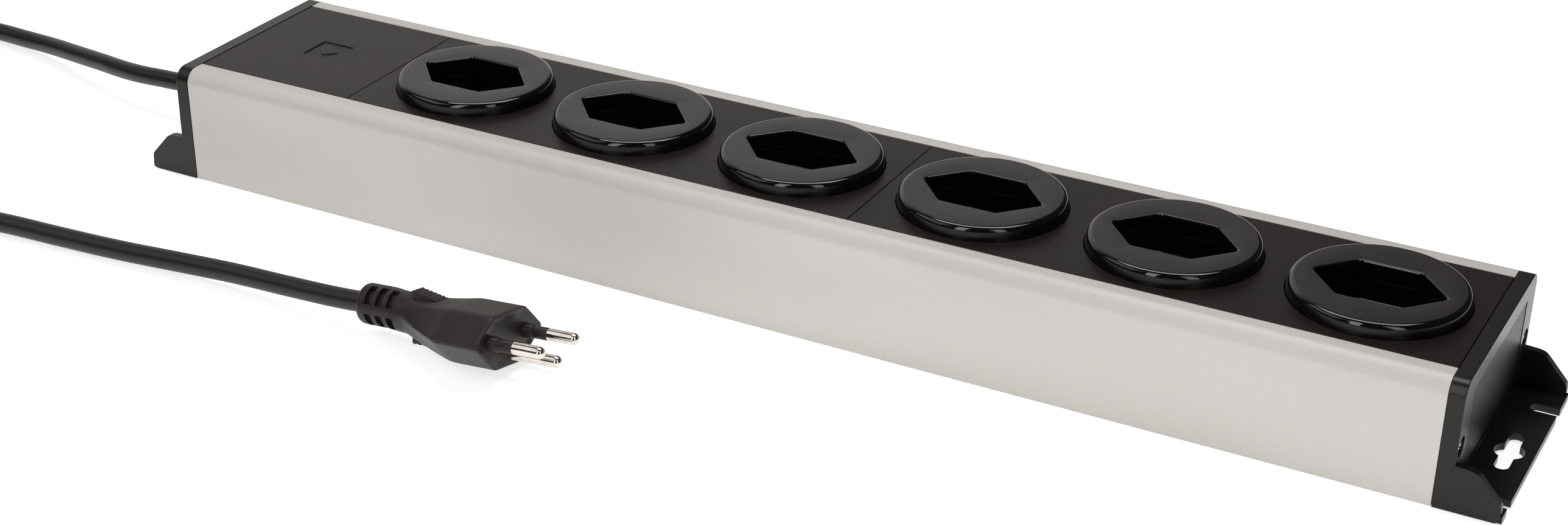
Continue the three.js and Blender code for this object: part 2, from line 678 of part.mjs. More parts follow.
// The head's long hexagon and the neck's circle have the same number of points, so one skin joins them.
function hexagonPoint(i) {
  const [upperY, upperZ] = PLUG_UPPER_CORNER;
  const [lowerY, lowerZ] = PLUG_LOWER_CORNER;
  const corners = [
    [PLUG_HALF_LENGTH, 0], [upperY, upperZ], [-upperY, upperZ],
    [-PLUG_HALF_LENGTH, 0], [-lowerY, lowerZ], [lowerY, lowerZ],
  ];
  const perSide = PLUG_POINTS / corners.length;
  const side = Math.floor(i / perSide);
  const along = (i % perSide) / perSide;
  const [from, to] = [corners[side], corners[(side + 1) % corners.length]];
  return [from[0] + (to[0] - from[0]) * along, from[1] + (to[1] - from[1]) * along];
}

function circlePoint(i, radius) {
  const angle = (i / PLUG_POINTS) * 2 * Math.PI;
  return [radius * Math.cos(angle), radius * Math.sin(angle)];
}

// The plug's section at x; share is 0 on the round neck and 1 on the hexagonal head.
function plugRing(x, radius, share, lift) {
  const ring = [];
  for (let i = 0; i < PLUG_POINTS; i += 1) {
    const round = circlePoint(i, radius);
    const flat = hexagonPoint(i);
    const y = round[0] + (flat[0] - round[0]) * share;
    const z = round[1] + (flat[1] - round[1]) * share;
    ring.push([x, y, z + lift]);
  }
  return ring;
}

function plugBody() {
  const neck = PLUG_NECK_RADIUS;
  const neckLift = PLUG_NECK_RISE * 0.7;
  const rings = [
    plugRing(-PLUG_LENGTH, neck - 1.6, 0, PLUG_NECK_RISE),
    plugRing(-PLUG_LENGTH + 0.7, neck - 0.5, 0, PLUG_NECK_RISE),
    plugRing(-PLUG_LENGTH + 2.4, neck, 0, PLUG_NECK_RISE),
    plugRing(-PLUG_NECK_START, neck, 0, neckLift),
  ];
  const steps = 6;
  for (let i = 1; i <= steps; i += 1) {
    const share = i / steps;
    const x = -PLUG_NECK_START + share * (PLUG_NECK_START - PLUG_HEAD);
    rings.push(plugRing(x, neck, share, neckLift * (1 - share)));
  }
  rings.push(plugRing(0, neck, 1, 0));
  const upperGrip = outline([[-34.7, 4], [-25.8, 4], [-25.8, 9], [-34.7, 10.4]]);
  const lowerGrip = outline([[-33.5, -4], [-33.5, -8.2], [-25, -8.6], [-25, -4]]);
  const grips = [upperGrip, lowerGrip].map((shape) => alongY(shape, -GRIP_HALF_WIDTH, GRIP_HALF_WIDTH));
  return cut(join(loft(rings), ...grips), ...neckSlots(), bridgeShape(GAP));
}

// Three rings of four slots make the neck bend.
function neckSlots() {
  const slots = [];
  for (let ring = 1; ring <= NECK_RINGS; ring += 1) {
    const x = -PLUG_LENGTH + ring * NECK_PITCH;
    for (let quarter = 0; quarter < 4; quarter += 1) {
      const shape = new THREE.Shape();
      const middle = rad(45 + 90 * quarter);
      const spread = rad(27);
      shape.absarc(0, PLUG_NECK_RISE, PLUG_NECK_RADIUS + 1, middle - spread, middle + spread, false);
      shape.absarc(0, PLUG_NECK_RISE, PLUG_NECK_RADIUS - 1.5, middle + spread, middle - spread, true);
      shape.closePath();
      slots.push(alongX(shape, x, x + NECK_SLOT, 4));
    }
  }
  return slots;
}

// The stiff insert that holds the pins; grow makes the pocket that it sits in.
function bridgeShape(grow) {
  const radius = BRIDGE_RADIUS + grow;
  const centre = BRIDGE_HALF - BRIDGE_RADIUS;
  const shape = new THREE.Shape();
  shape.absarc(centre, BRIDGE_Z, radius, -Math.PI / 2, Math.PI / 2);
  shape.absarc(-centre, BRIDGE_Z, radius, Math.PI / 2, 1.5 * Math.PI);
  shape.closePath();
  return alongX(shape, -BRIDGE_DEPTH - grow, grow > 0 ? 1 : 0, 8);
}

function pinBridge() {
  const start = PIN_ROOT - 0.8;
  const bores = [-PIN_SPACING / 2, PIN_SPACING / 2].map((y) => rodX(SLEEVE_BORE, start, 1, y, 0));
  return cut(bridgeShape(0), ...bores, rodX(PIN_RADIUS + GAP, start, 1, 0, -EARTH_OFFSET));
}

// A pin with a round tip; a sleeved pin is thinner as far as its sleeve goes.
function plugPin(sleeved) {
  const profile = [[0, PIN_ROOT]];
  if (sleeved) {
    profile.push([PIN_CORE, PIN_ROOT], [PIN_CORE, SLEEVE_END + GAP], [PIN_RADIUS, SLEEVE_END + GAP]);
  } else {
    profile.push([PIN_RADIUS, PIN_ROOT]);
  }
  const steps = 4;
  for (let i = 0; i < steps; i += 1) {
    const angle = (i / steps) * (Math.PI / 2);
    profile.push([PIN_RADIUS * Math.cos(angle), PIN_LENGTH - PIN_RADIUS + PIN_RADIUS * Math.sin(angle)]);
  }
  profile.push([0, PIN_LENGTH]);
  return solid(turnedX(profile, 16));
}

function pinSleeve() {
  const inner = PIN_CORE + GAP;
  const profile = [
    [inner, PIN_ROOT], [2.4, PIN_ROOT], [2.4, 2.9], [PIN_RADIUS, 3.1], [PIN_RADIUS, SLEEVE_END],
    [inner, SLEEVE_END], [inner, PIN_ROOT],
  ];
  return solid(turnedX(profile, 16));
}

// ---------- Build ----------

place('housing_profile', toGeometry(housing()), 'anodised');
place('blank_cover', toGeometry(blankCover()), 'satinBlack');
COVER_STARTS.forEach((start, side) => {
  const letter = 'ab'[side];
  place(`socket_cover_${letter}`, toGeometry(socketCover(start)), 'satinBlack');
  place(`contact_carrier_${letter}`, toGeometry(contactCarrier(start)), 'carrier');
  for (let i = 0; i < SOCKETS_PER_COVER; i += 1) {
    const number = side * SOCKETS_PER_COVER + i + 1;
    const insert = place(`socket_insert_${number}`, toGeometry(socketInsert()), 'glossBlack');
    insert.position.x = socketCentre(start, i);
  }
});

for (const [name, rail] of Object.entries(RAILS)) {
  place(`${name}_rail`, toGeometry(contactRail(rail)), 'brass');
}
for (const [name, start] of Object.entries(CORE_STARTS)) {
  place(`${name}_wire`, toGeometry(coreTo(RAILS[name], start)), CORE_COLOURS[name]);
}

place('cable_saddle', toGeometry(cableSaddle()), 'carrier');
place('cable_clamp', toGeometry(cableClamp()), 'carrier');
for (const [name, y] of [['front', -CLAMP_SCREW_Y], ['back', CLAMP_SCREW_Y]]) {
  const shape = toGeometry(panScrew(LEAD_Z + 5.8, 14, PAN_HEAD_RADIUS, PAN_SHANK_RADIUS));
  const screw = place(`clamp_screw_${name}`, shape, 'steel');
  screw.position.set(CLAMP_X, y, 0);
}
place('earth_tag', toGeometry(earthTag()), 'brass');
place('earth_bond_wire', toGeometry(bondWire()), 'green');
const earthScrewShape = toGeometry(panScrew(WALL + GAP + 1.1, 3.4, PAN_HEAD_RADIUS, PAN_SHANK_RADIUS));
const earthScrew = place('earth_screw', earthScrewShape, 'steel');
earthScrew.position.set(EARTH_TAG.x, EARTH_TAG.y, 0);

// Each end is built in its own frame and turned to face outwards.
for (const [side, turn, hasLead] of [['right', 0, false], ['left', Math.PI, true]]) {
  const end = new THREE.Group();
  end.rotation.z = turn;
  end.position.x = Math.cos(turn) * HALF;
  strip.add(end);
  place(`end_cap_${side}`, toGeometry(endCap(hasLead)), 'capBlack', end);
  for (const [name, y] of [['front', -SCREW_Y], ['back', SCREW_Y]]) {
    const seat = CAP_THICKNESS - SCREW_RECESS_DEPTH + GAP;
    const shape = toGeometry(panScrew(seat, SCREW_LENGTH, PAN_HEAD_RADIUS, PAN_SHANK_RADIUS));
    const screw = place(`cap_screw_${side}_${name}`, shape, 'steel', end);
    screw.rotation.y = Math.PI / 2;
    screw.position.set(0, turn ? -y : y, SCREW_Z);
  }
  if (hasLead) {
    const bushing = place('cord_bushing', toGeometry(cordBushing()), 'cord', end);
    bushing.position.z = LEAD_Z;
  }
}

const insideLead = rodX(CORD_RADIUS, -BUSHING_END + 0.1, CORES_START - GAP, 0, LEAD_Z);
place('cord_end', toGeometry(insideLead), 'cord');
place('cord_lead', toGeometry(rodAlong(ROUTE_TO_COIL, CORD_RADIUS, 10, 18)), 'cord');
place('cord_tail', toGeometry(rodAlong(ROUTE_TO_PLUG, CORD_RADIUS, 10, 18)), 'cord');
const coil = place('cord_coil', toGeometry(coilRing()), 'cord');
coil.position.set(COIL.x, COIL.y, 0);
const tie = place('cord_tie', toGeometry(coilTie()), 'satinBlack');
const tieReach = (COIL.inner + COIL.outer) / 2;
tie.rotation.z = TIE_ANGLE;
tie.position.set(COIL.x + tieReach * Math.cos(TIE_ANGLE), COIL.y + tieReach * Math.sin(TIE_ANGLE), 0);

const plug = new THREE.Group();
plug.rotation.set(rad(PLUG_ROLL), rad(-PLUG_RISE), 0, 'ZYX');
plug.position.set(...PLUG_PLACE);
strip.add(plug);
place('plug_body', toGeometry(plugBody()), 'capBlack', plug);
place('pin_bridge', toGeometry(pinBridge()), 'capBlack', plug);
const PINS = [
  ['live', -PIN_SPACING / 2, 0, true],
  ['neutral', PIN_SPACING / 2, 0, true],
  ['earth', 0, -EARTH_OFFSET, false],
];
for (const [name, y, z, sleeved] of PINS) {
  const pin = place(`plug_pin_${name}`, toGeometry(plugPin(sleeved)), 'nickel', plug);
  pin.position.set(0, y, z);
  if (sleeved) {
    const sleeve = place(`pin_sleeve_${name}`, toGeometry(pinSleeve()), 'glossBlack', plug);
    sleeve.position.set(0, y, z);
  }
}

export default strip;
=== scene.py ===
"""Looks of the desk power strip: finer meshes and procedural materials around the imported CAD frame.

The camera, the cord and the studio are in metres, in the strip's own frame. The pieces' shapes are drawn in
millimetres and scaled once, when their mesh is made. Angles are in degrees.
"""
import math

import bmesh
import bpy
from mathutils import Matrix, Vector


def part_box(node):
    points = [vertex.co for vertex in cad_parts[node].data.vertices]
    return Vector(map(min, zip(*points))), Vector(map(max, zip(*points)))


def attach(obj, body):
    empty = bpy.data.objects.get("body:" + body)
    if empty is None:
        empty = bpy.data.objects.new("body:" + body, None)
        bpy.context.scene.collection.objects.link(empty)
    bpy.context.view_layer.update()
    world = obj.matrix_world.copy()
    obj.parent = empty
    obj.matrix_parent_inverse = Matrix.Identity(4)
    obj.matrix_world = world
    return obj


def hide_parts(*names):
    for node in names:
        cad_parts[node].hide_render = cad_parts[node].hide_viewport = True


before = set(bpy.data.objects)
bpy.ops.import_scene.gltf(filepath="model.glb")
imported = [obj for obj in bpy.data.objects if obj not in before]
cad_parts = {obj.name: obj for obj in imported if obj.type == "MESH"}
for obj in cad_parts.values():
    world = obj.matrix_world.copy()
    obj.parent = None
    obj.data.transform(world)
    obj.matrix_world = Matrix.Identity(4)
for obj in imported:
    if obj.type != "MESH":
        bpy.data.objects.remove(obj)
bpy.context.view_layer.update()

MM = 0.001

# ---------- Camera ----------

VIEW_AZIMUTH = 28.47
VIEW_ELEVATION = 28.96
VIEW_ROLL = 0.372
CAMERA_PLACE = (0.3423, -0.6654, 0.3877)
LENS_MM = 58.68
VIEW_SHIFT = (0.01997, 0.0512)


def add_camera():
    """Looks down on the strip from its front right."""
    data = bpy.data.cameras.new("camera")
    data.lens = LENS_MM
    data.sensor_width = 36
    data.shift_x, data.shift_y = VIEW_SHIFT
    data.clip_start = 0.01
    camera = bpy.data.objects.new("camera", data)
    bpy.context.scene.collection.objects.link(camera)
    azimuth = math.radians(VIEW_AZIMUTH)
    elevation = math.radians(VIEW_ELEVATION)
    turn = Matrix.Rotation(azimuth, 4, "Z") @ Matrix.Rotation(math.pi / 2 - elevation, 4, "X")
    roll = Matrix.Rotation(math.radians(VIEW_ROLL), 4, "Z")
    camera.matrix_world = Matrix.Translation(CAMERA_PLACE) @ turn @ roll
    bpy.context.scene.camera = camera


add_camera()

# ---------- Mains lead ----------

CORD_DIAMETER = 0.0068
# From the bushing to the coil, and from the coil to the plug, in millimetres
ROUTE_TO_COIL_MM = [
    (-251.6, 0, 14.9), (-260, 0, 13.8), (-269.6, 0.7, 13), (-280.7, 1.7, 12), (-291.6, 3.9, 11),
    (-302.7, 6.9, 10), (-320.5, 12, 8), (-338.6, 17.1, 6), (-354.4, 20, 4.7), (-369.8, 21.5, 4.2),
    (-382, 21, 4.2), (-392, 17.5, 4.2), (-400.5, 11, 4.2), (-406.5, 2.5, 4.2), (-409.6, -7.5, 4.2),
    (-409.6, -17.5, 4.2), (-407.4, -28.6, 4.2), (-404.3, -44.3, 4.2), (-401.1, -60.1, 4.3),
    (-398.6, -72.5, 4.3),
]
ROUTE_TO_PLUG_MM = [
    (-335, -117.6, 11.1), (-321.6, -117.1, 10.9), (-310, -115.7, 9.4), (-297, -113.6, 6.8),
    (-282, -110.9, 4.6), (-266, -107.9, 3.6), (-251.2, -105.5, 3.5), (-225.8, -103.8, 3.5),
    (-203, -102.5, 3.8), (-177, -100.4, 4.5), (-156.3, -99.7, 5.6), (-131.9, -100.6, 7.2),
    (-110, -101.5, 9), (-101.6, -101.5, 9.85),
]
COIL_CENTRE_MM = (-352.6, -76.9)
COIL_LOWER_Z_MM = 4.3
COIL_UPPER_Z_MM = 11.1
# Angles in degrees where the turns change radius or layer; the radius in millimetres holds up to each angle
COIL_TURNS = [
    (191.35, 44.3, 0), (485.35, 44.3, 0), (551.35, 37.5, 0), (845.35, 37.5, 0), (911.35, 30.7, 0),
    (1135, 30.7, 0), (1205, 34.1, 1), (1425, 34.1, 1), (1495, 40.9, 1), (1710, 40.9, 1),
]
COIL_STEP = 20


def ease(share):
    return share * share * (3 - 2 * share)


def coil_point(angle):
    """A point of the coil: two layers of turns that lie beside and on each other."""
    for (start, radius, layer), (end, next_radius, next_layer) in zip(COIL_TURNS, COIL_TURNS[1:]):
        if angle <= end:
            share = ease((angle - start) / (end - start))
            break
    r = radius + (next_radius - radius) * share
    height = layer + (next_layer - layer) * share
    z = COIL_LOWER_Z_MM + (COIL_UPPER_Z_MM - COIL_LOWER_Z_MM) * height
    turn = math.radians(angle)
    return (COIL_CENTRE_MM[0] + r * math.cos(turn), COIL_CENTRE_MM[1] + r * math.sin(turn), z)


def cord_route():
    start = COIL_TURNS[0][0]
    end = COIL_TURNS[-1][0]
    steps = round((end - start) / COIL_STEP)
    coil = [coil_point(start + (end - start) * i / steps) for i in range(steps + 1)]
    return [Vector(point) * MM for point in ROUTE_TO_COIL_MM + coil + ROUTE_TO_PLUG_MM]


def add_cord():
    points = cord_route()
    curve = bpy.data.curves.new("mains_cord", "CURVE")
    curve.dimensions = "3D"
    curve.bevel_depth = CORD_DIAMETER / 2
    curve.bevel_resolution = 5
    curve.resolution_u = 6
    curve.use_fill_caps = True
    spline = curve.splines.new("BEZIER")
    spline.bezier_points.add(len(points) - 1)
    for knot, point in zip(spline.bezier_points, points):
        knot.co = point
        knot.handle_left_type = "AUTO"
        knot.handle_right_type = "AUTO"
    cord = bpy.data.objects.new("mains_cord", curve)
    bpy.context.scene.collection.objects.link(cord)
    return cord


cord = add_cord()

# ---------- Materials ----------

# Where most of a noise texture's values lie
NOISE_RANGE = (0.3, 0.7)


class Look:
    """A procedural material: a Principled shader with helpers to wire noise into it."""

    def __init__(self, name, roughness=0.5, metallic=0.0, gloss=0.5):
        self.material = bpy.data.materials.new(name)
        self.material.use_nodes = True
        self.nodes = self.material.node_tree.nodes
        self.links = self.material.node_tree.links
        self.shader = self.nodes["Principled BSDF"]
        self.shader.inputs["Roughness"].default_value = roughness
        self.shader.inputs["Metallic"].default_value = metallic
        self.shader.inputs["Specular IOR Level"].default_value = gloss
        self.where = self.nodes.new("ShaderNodeTexCoord").outputs["Object"]
        self.normal = None

    def noise(self, size_mm, detail=2.0, stretch=(1, 1, 1)):
        """Noise with features of about size_mm, drawn out by stretch along each axis."""
        mapping = self.nodes.new("ShaderNodeMapping")
        mapping.inputs["Scale"].default_value = [1 / s for s in stretch]
        texture = self.nodes.new("ShaderNodeTexNoise")
        texture.inputs["Scale"].default_value = 1 / (size_mm * MM)
        texture.inputs["Detail"].default_value = detail
        self.links.new(self.where, mapping.inputs["Vector"])
        self.links.new(mapping.outputs["Vector"], texture.inputs["Vector"])
        return texture.outputs["Fac"]

    def blend_colours(self, factor, dark, light, spread=(0.35, 0.65)):
        ramp = self.nodes.new("ShaderNodeValToRGB")
        ramp.color_ramp.elements[0].position = spread[0]
        ramp.color_ramp.elements[1].position = spread[1]
        ramp.color_ramp.elements[0].color = (*dark, 1)
        ramp.color_ramp.elements[1].color = (*light, 1)
        self.links.new(factor, ramp.inputs["Fac"])
        self.links.new(ramp.outputs["Color"], self.shader.inputs["Base Color"])
        return self

    def vary_roughness(self, factor, low, high):
        scale = self.nodes.new("ShaderNodeMapRange")
        scale.inputs["From Min"].default_value, scale.inputs["From Max"].default_value = NOISE_RANGE
        scale.inputs["To Min"].default_value = low
        scale.inputs["To Max"].default_value = high
        self.links.new(factor, scale.inputs["Value"])
        self.links.new(scale.outputs["Result"], self.shader.inputs["Roughness"])
        return self

    def bump(self, factor, height_mm):
        """Adds relief of about height_mm on top of the relief before it."""
        node = self.nodes.new("ShaderNodeBump")
        node.inputs["Distance"].default_value = height_mm * MM
        node.inputs["Strength"].default_value = 1.0
        self.links.new(factor, node.inputs["Height"])
        if self.normal:
            self.links.new(self.normal, node.inputs["Normal"])
        self.normal = node.outputs["Normal"]
        self.links.new(self.normal, self.shader.inputs["Normal"])
        return self


def anodised_aluminium():
    """Fine blasted and anodised extrusion, with faint draw lines along it."""
    look = Look("anodised_aluminium", metallic=0.28)
    grain = look.noise(0.35, detail=3)
    cloud = look.noise(45, stretch=(4, 1, 1))
    lines = look.noise(0.6, stretch=(220, 1, 1))
    look.blend_colours(cloud, (0.56, 0.535, 0.505), (0.61, 0.585, 0.555))
    look.vary_roughness(grain, 0.54, 0.66)
    return look.bump(lines, 0.003).bump(grain, 0.008).material


def moulded_plastic(name, light, roughness, grain_mm, depth_mm, gloss=0.5):
    """Moulded plastic with a spark-eroded grain."""
    look = Look(name, gloss=gloss)
    grain = look.noise(grain_mm)
    cloud = look.noise(30)
    dark = tuple(part * 0.8 for part in light)
    look.blend_colours(cloud, dark, light)
    look.vary_roughness(grain, roughness - 0.05, roughness + 0.05)
    return look.bump(grain, depth_mm).material


def polished_metal(name, dark, light, roughness):
    look = Look(name, metallic=1.0)
    wear = look.noise(2.5, detail=4)
    marks = look.noise(0.25, stretch=(12, 1, 1))
    look.blend_colours(wear, dark, light)
    look.vary_roughness(wear, roughness * 0.8, roughness * 1.3)
    return look.bump(marks, 0.002).material


def striped_core():
    """Green insulation with a yellow stripe, as the earth core has."""
    look = Look("earth_insulation", roughness=0.45)
    bands = look.noise(1.6, stretch=(30, 1, 1))
    look.blend_colours(bands, (0.06, 0.30, 0.05), (0.75, 0.62, 0.04), spread=(0.49, 0.51))
    return look.bump(look.noise(0.3), 0.004).material


def insulation(name, colour):
    look = Look(name, roughness=0.45)
    dark = tuple(part * 0.8 for part in colour)
    look.blend_colours(look.noise(3), dark, colour)
    return look.bump(look.noise(0.3), 0.004).material


ALUMINIUM = anodised_aluminium()
COVER_BLACK = moulded_plastic("cover_black", (0.012, 0.0095, 0.008), 0.36, 0.35, 0.010, gloss=0.16)
DISC_SATIN = moulded_plastic("disc_satin", (0.013, 0.0105, 0.009), 0.34, 0.35, 0.010, gloss=0.38)
# Glossy rim, lip and recess. The gloss is real, but the near-black colour, darker than the disc top's, is
# painted shade in the recess.
DISC_GLOSS_PAINTED_SHADE = moulded_plastic("disc_gloss_painted_shade", (0.0022, 0.0020, 0.0019), 0.07, 0.8, 0.0003)
DISC_SIDE = moulded_plastic("disc_side", (0.0045, 0.0035, 0.003), 0.20, 0.35, 0.002, gloss=0.3)
CAP_BLACK = moulded_plastic("cap_black", (0.008, 0.0065, 0.0055), 0.30, 0.3, 0.006, gloss=0.32)
PANEL_BLACK = moulded_plastic("panel_black", (0.008, 0.007, 0.006), 0.36, 0.5, 0.002, gloss=0.12)
PLUG_BLACK = moulded_plastic("plug_black", (0.017, 0.0135, 0.0115), 0.42, 0.4, 0.008, gloss=0.28)
SHEATH_BLACK = moulded_plastic("sheath_black", (0.012, 0.010, 0.009), 0.38, 0.5, 0.005, gloss=0.35)
CARRIER_GREY = moulded_plastic("carrier_grey", (0.42, 0.42, 0.40), 0.5, 0.4, 0.01)
NICKEL = polished_metal("nickel", (0.62, 0.57, 0.51), (0.74, 0.69, 0.63), 0.12)
BRASS = polished_metal("brass", (0.55, 0.40, 0.16), (0.72, 0.53, 0.23), 0.28)
ZINC = polished_metal("zinc", (0.60, 0.60, 0.59), (0.76, 0.76, 0.75), 0.2)
BROWN_CORE = insulation("brown_insulation", (0.16, 0.06, 0.025))
BLUE_CORE = insulation("blue_insulation", (0.03, 0.12, 0.40))
EARTH_CORE = striped_core()

# ---------- Pieces ----------


def add_piece(name, build, materials, replaced, place=None):
    """Makes a piece from a bmesh in millimetres; it rides on the one body and stands for CAD nodes."""
    bmesh.ops.scale(build, vec=(MM, MM, MM), verts=build.verts)
    if place:
        build.transform(place)
    mesh = bpy.data.meshes.new(name)
    build.to_mesh(mesh)
    build.free()
    for material in materials:
        mesh.materials.append(material)
    piece = bpy.data.objects.new(name, mesh)
    bpy.context.scene.collection.objects.link(piece)
    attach(piece, "root")
    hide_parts(*replaced)
    return piece


def smooth(build, angle=30):
    """Shades smooth, with edges sharper than angle kept crisp."""
    limit = math.radians(angle)
    for face in build.faces:
        face.smooth = True
    for edge in build.edges:
        edge.smooth = len(edge.link_faces) != 2 or edge.calc_face_angle(0) < limit
    return build


def from_node(node):
    """A CAD node's solid as a clean mesh in millimetres, with its flat faces whole."""
    build = bmesh.new()
    build.from_mesh(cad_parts[node].data)
    bmesh.ops.scale(build, vec=(1 / MM, 1 / MM, 1 / MM), verts=build.verts)
    bmesh.ops.remove_doubles(build, verts=build.verts, dist=1e-3)
    flat = math.radians(0.5)
    bmesh.ops.dissolve_limit(build, angle_limit=flat, verts=build.verts, edges=build.edges)
    return build


def bevel_sharp(build, width, angle=35, segments=3):
    """Rounds the edges that are sharper than angle."""
    limit = math.radians(angle)
    sharp = [edge for edge in build.edges if len(edge.link_faces) == 2 and edge.calc_face_angle(0) > limit]
    bmesh.ops.bevel(
        build, geom=sharp, offset=width, offset_type="OFFSET", segments=segments,
        profile=0.5, affect="EDGES", clamp_overlap=True,
    )
    return build


def turned(profile, segments=64):
    """A closed turned solid about Z, from (radius, height) points that run upwards and touch the axis."""
    build = bmesh.new()
    rings = []
    for radius, z in profile:
        if radius == 0:
            rings.append([build.verts.new((0, 0, z))])
            continue
        ring = []
        for i in range(segments):
            angle = 2 * math.pi * i / segments
            ring.append(build.verts.new((radius * math.cos(angle), radius * math.sin(angle), z)))
        rings.append(ring)
    for lower, upper in zip(rings, rings[1:]):
        for i in range(segments):
            j = (i + 1) % segments
            corners = [lower[i % len(lower)], lower[j % len(lower)]]
            corners += [upper[j % len(upper)], upper[i % len(upper)]]
            build.faces.new(list(dict.fromkeys(corners)))
    return build


def loft(rings, capped=True):
    """A skin through rings of points, all of one length."""
    build = bmesh.new()
    loops = [[build.verts.new(point) for point in ring] for ring in rings]
    count = len(loops[0])
    for lower, upper in zip(loops, loops[1:]):
        for i in range(count):
            j = (i + 1) % count
            build.faces.new((lower[i], lower[j], upper[j], upper[i]))
    if capped:
        build.faces.new(list(reversed(loops[0])))
        build.faces.new(loops[-1])
    return build


def combine(build, others, operation):
    """Joins closed bmeshes to a closed bmesh, or subtracts them, and returns the result."""
    objects = []
    for part in [build, *others]:
        mesh = bpy.data.meshes.new("cutting")
        part.to_mesh(mesh)
        part.free()
        objects.append(bpy.data.objects.new("cutting", mesh))
    scene = bpy.context.scene.collection
    for item in objects:
        scene.objects.link(item)
    whole = objects[0]
    for other in objects[1:]:
        modifier = whole.modifiers.new("combine", "BOOLEAN")
        modifier.operation = operation
        modifier.solver = "EXACT"
        modifier.object = other
    result = bmesh.new()
    result.from_object(whole, bpy.context.evaluated_depsgraph_get())
    for item in objects:
        mesh = item.data
        bpy.data.objects.remove(item)
        bpy.data.meshes.remove(mesh)
    return result


def arc(centre, radius, start, end, steps):
    """Points of an arc, both ends included; angles are from the first axis towards the second."""
    points = []
    for i in range(steps + 1):
        angle = math.radians(start + (end - start) * i / steps)
        points.append((centre[0] + radius * math.cos(angle), centre[1] + radius * math.sin(angle)))
    return points


# ---------- Housing and covers ----------

HOUSING_EDGE = 0.22
COVER_EDGE = 0.18


def paint(node, material):
    """Gives a CAD node that stays as it is its material."""
    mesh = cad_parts[node].data
    mesh.materials.clear()
    mesh.materials.append(material)


def even_normals(piece):
    """Lets large flat faces stay flat beside their rounded edges."""
    piece.modifiers.new("even_normals", "WEIGHTED_NORMAL").keep_sharp = True


def add_refined(node, material, width):
    """The CAD node's own shape with its sharp edges rounded by width."""
    build = bevel_sharp(from_node(node), width)
    even_normals(add_piece(node + "_body", smooth(build), [material], [node]))


add_refined("housing_profile", ALUMINIUM, HOUSING_EDGE)
for node in ("blank_cover", "socket_cover_a", "socket_cover_b"):
    add_refined(node, COVER_BLACK, COVER_EDGE)

# ---------- Sockets ----------

DISC_RADIUS = 27
DISC_TOP_RADIUS = 26.5
DISC_EDGE = 1.9
SIDE_SLOPE = 8
FLANGE_RADIUS = 28.5
# The flange under the cover, as depths below the cover's top
FLANGE_TOP = 2.6
FLANGE_BOTTOM = 4.1
FLOOR_THICKNESS = 2
RECESS = ((18.7, 0), (8.9, 10.9), (-8.9, 10.9), (-18.7, 0), (-8.9, -10.9), (8.9, -10.9))
RECESS_ROUND = 2
LIP_ROUND = 0.7
LEAD_IN = 1.1
LEAD_IN_DEPTH = 6
LEAD_IN_SHIFT = -0.3
POT_WALL = 1.9
FLOOR_ROUND = 0.6
PIN_HOLE_RADIUS = 2.5
# The plug's pins and the socket's holes: live, neutral and earth
PIN_PLACES = {"live": (-9.5, 0), "neutral": (9.5, 0), "earth": (0, -5)}
AROUND = 180
SEARCH_REACH = 40.0
SEARCH_STEPS = 32
SOCKETS = 6


def polygon_distance(x, y, corners):
    """How far a point lies outside a convex polygon; inside it is negative."""
    outside = None
    nearest = math.inf
    for (ax, ay), (bx, by) in zip(corners, corners[1:] + corners[:1]):
        length = math.hypot(bx - ax, by - ay)
        along = ((x - ax) * (bx - ax) + (y - ay) * (by - ay)) / length
        off = ((x - ax) * (by - ay) - (y - ay) * (bx - ax)) / length
        outside = off if outside is None else max(outside, off)
        held = min(max(along, 0), length) / length
        nearest = min(nearest, math.hypot(x - ax - (bx - ax) * held, y - ay - (by - ay) * held))
    return nearest if outside > 0 else outside


def inset(corners, amount):
    """The convex polygon's corners moved in so that each side goes in by amount."""
    moved = []
    count = len(corners)
    for i in range(count):
        before, here, after = (Vector(corners[(i + k) % count]) for k in (-1, 0, 1))
        one = (here - before).normalized()
        two = (after - here).normalized()
        inward = Vector((-one.y - two.y, one.x + two.x))
        half = math.sqrt((1 + one.dot(two)) / 2)
        moved.append(tuple(here + inward.normalized() * (amount / half)))
    return moved


def recess_ring(grow, z, round_by=RECESS_ROUND, shift=0.0):
    """The recess's outline, widened by grow and moved by shift, with rounded corners.

    The distance to it is found by halving, once for each direction from the middle.
    """
    core = inset(RECESS, round_by - grow)
    ring = []
    for i in range(AROUND):
        angle = 2 * math.pi * i / AROUND
        low, high = 0.0, SEARCH_REACH
        for _ in range(SEARCH_STEPS):
            middle = (low + high) / 2
            gap = polygon_distance(middle * math.cos(angle), middle * math.sin(angle), core)
            low, high = (middle, high) if gap < round_by else (low, middle)
        ring.append((low * math.cos(angle), low * math.sin(angle) + shift, z))
    return ring


def round_ring(radius, z):
    steps = [2 * math.pi * i / AROUND for i in range(AROUND)]
    return [(radius * math.cos(angle), radius * math.sin(angle), z) for angle in steps]


